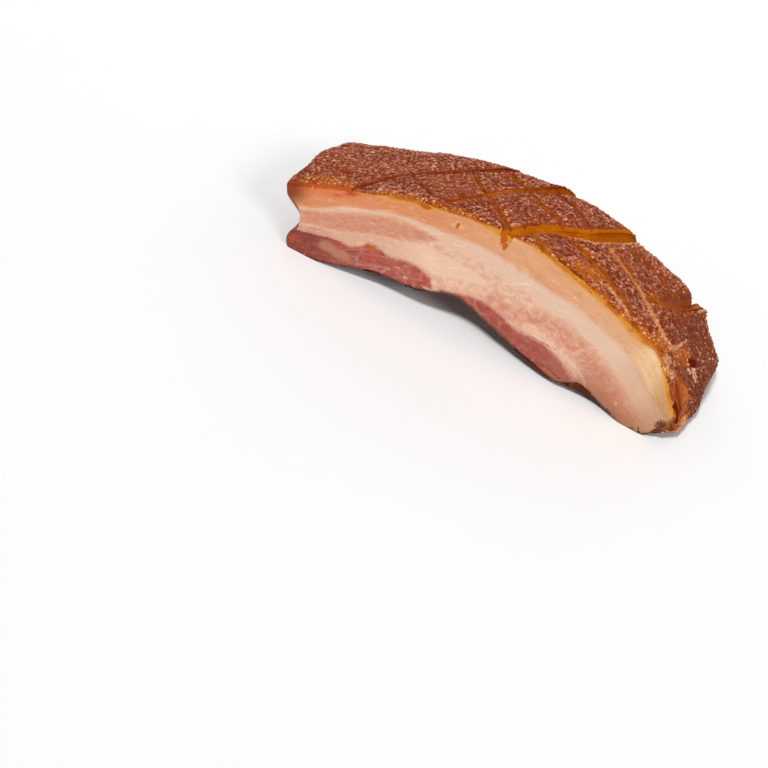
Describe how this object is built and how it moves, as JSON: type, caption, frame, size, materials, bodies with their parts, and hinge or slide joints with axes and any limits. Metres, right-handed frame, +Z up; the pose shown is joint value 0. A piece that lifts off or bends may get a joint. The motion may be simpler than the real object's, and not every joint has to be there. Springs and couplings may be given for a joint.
{
  "type": "bacon slab",
  "caption": "Arched slab of smoked bacon with a cross-scored, pimpled rind on top, a fresh cut along one long side, and smoked meat below.",
  "frame": {"origin": "middle of the footprint's bounding box, on the surface the slab lies on", "axes": "+X along the slab towards the end that the rind wraps, -Y the way the fresh cut faces, +Z up from the surface to the rind"},
  "size_m": [0.2868, 0.0974, 0.083],
  "materials": {
    "smoked_meat": "glossy browned rind, moist cut meat and fat"
  },
  "bodies": {
    "root": {"bacon_slab": "smoked_meat"}
  },
  "joints": []
}
